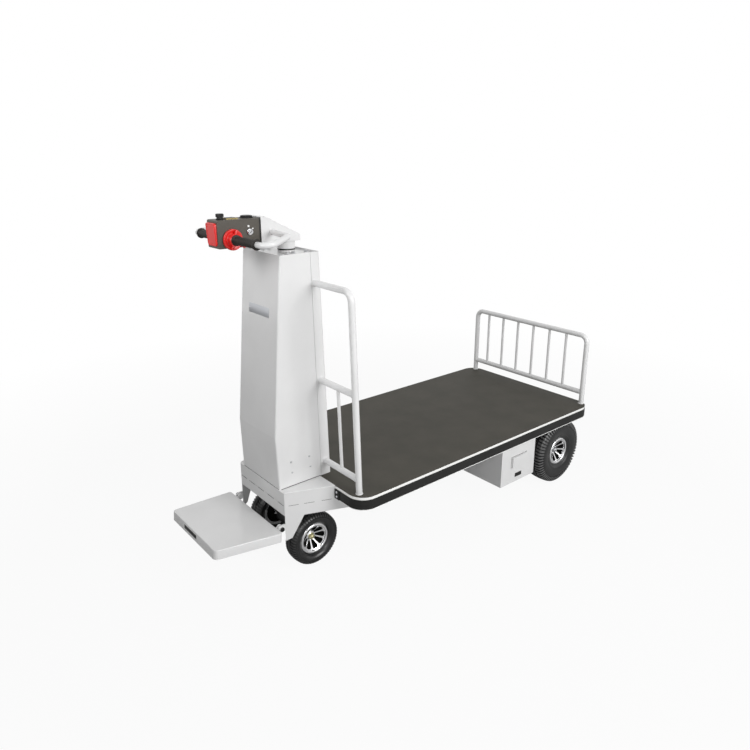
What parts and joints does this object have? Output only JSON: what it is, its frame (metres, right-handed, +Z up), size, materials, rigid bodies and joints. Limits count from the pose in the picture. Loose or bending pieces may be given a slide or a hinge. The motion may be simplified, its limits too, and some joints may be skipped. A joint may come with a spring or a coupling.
{
  "type": "stand-on electric platform truck",
  "caption": "Stand-on electric platform truck: flat load deck with rails on four pneumatic wheels, sheet steel column with tiller head, and a folding step at the operator's end.",
  "frame": {"origin": "floor level under the middle of the truck's overall length and width", "axes": "+X from the operator's step towards the rear rail, +Y to the operator's left, +Z up"},
  "size_m": [2.0142, 0.808, 1.4168],
  "materials": {
    "paint": "glossy powder coat",
    "rail_paint": "glossy powder coat",
    "trim_white": "satin white",
    "deck_rubber": "matte anti-slip",
    "bumper_rubber": "matte",
    "tyre": "matte",
    "rim": "machined",
    "red_plastic": "gloss",
    "dark_plastic": "satin",
    "steel": "zinc plated",
    "drive": "satin black",
    "meter": "satin"
  },
  "bodies": {
    "chassis": {"nose_tray": "paint", "nose_sides": "paint", "nose_apron": "paint", "column_front_cover": "paint", "column_rear_cover": "paint", "column_top_plate": "paint", "battery_box": "paint", "battery_cover": "paint", "pedal_lugs": "paint", "frame_long_members": "paint", "frame_cross_members": "paint", "bearing_floor": "paint", "rear_rail_hoop": "rail_paint", "rear_rail_bars": "rail_paint", "front_rail_hoops": "rail_paint", "front_rail_crosses": "rail_paint", "deck_edge_trim": "trim_white", "deck_mat": "deck_rubber", "deck_mat_ends": "deck_rubber", "deck_sheet": "deck_rubber", "bumper_rubber": "bumper_rubber", "shaft_seal": "bumper_rubber", "bumper_end_plates": "bumper_rubber", "battery_block": "dark_plastic", "rear_axle": "steel", "axle_hangers": "steel", "drive_gear_case": "drive", "drive_motor": "drive"},
    "steering": {"steering_shaft": "paint", "front_axle": "steel", "tiller_bracket": "paint", "control_box": "dark_plastic", "belly_button": "red_plastic", "handle_loops": "rail_paint", "throttle_butterflies": "red_plastic", "hand_grips": "bumper_rubber", "head_buttons": "dark_plastic", "charge_meter": "meter", "key_switch": "steel"},
    "pedal": {"pedal_pan": "paint", "pedal_hinges": "steel"},
    "front_wheel_left": {"front_tyre_left": "tyre", "front_rim_left": "rim"},
    "front_wheel_right": {"front_tyre_right": "tyre", "front_rim_right": "rim"},
    "rear_wheel_left": {"rear_tyre_left": "tyre", "rear_rim_left": "rim"},
    "rear_wheel_right": {"rear_tyre_right": "tyre", "rear_rim_right": "rim"}
  },
  "joints": [
    {"name": "tiller_turn", "type": "hinge", "parent": "chassis", "child": "steering", "pos_m": [-0.53893, 0, 0.315], "axis": [0, 0, 1], "range_deg": [-38, 38]},
    {"name": "pedal_fold", "type": "hinge", "parent": "chassis", "child": "pedal", "pos_m": [-0.71793, 0, 0.223], "axis": [0, 1, 0], "range_deg": [0, 80]},
    {"name": "front_wheel_left_spin", "type": "hinge", "parent": "steering", "child": "front_wheel_left", "pos_m": [-0.56093, 0.142, 0.112], "axis": [0, 1, 0], "continuous": true},
    {"name": "front_wheel_right_spin", "type": "hinge", "parent": "steering", "child": "front_wheel_right", "pos_m": [-0.56093, -0.142, 0.112], "axis": [0, 1, 0], "continuous": true},
    {"name": "rear_wheel_left_spin", "type": "hinge", "parent": "chassis", "child": "rear_wheel_left", "pos_m": [0.78907, 0.341, 0.165], "axis": [0, 1, 0], "continuous": true},
    {"name": "rear_wheel_right_spin", "type": "hinge", "parent": "chassis", "child": "rear_wheel_right", "pos_m": [0.78907, -0.341, 0.165], "axis": [0, 1, 0], "continuous": true}
  ]
}
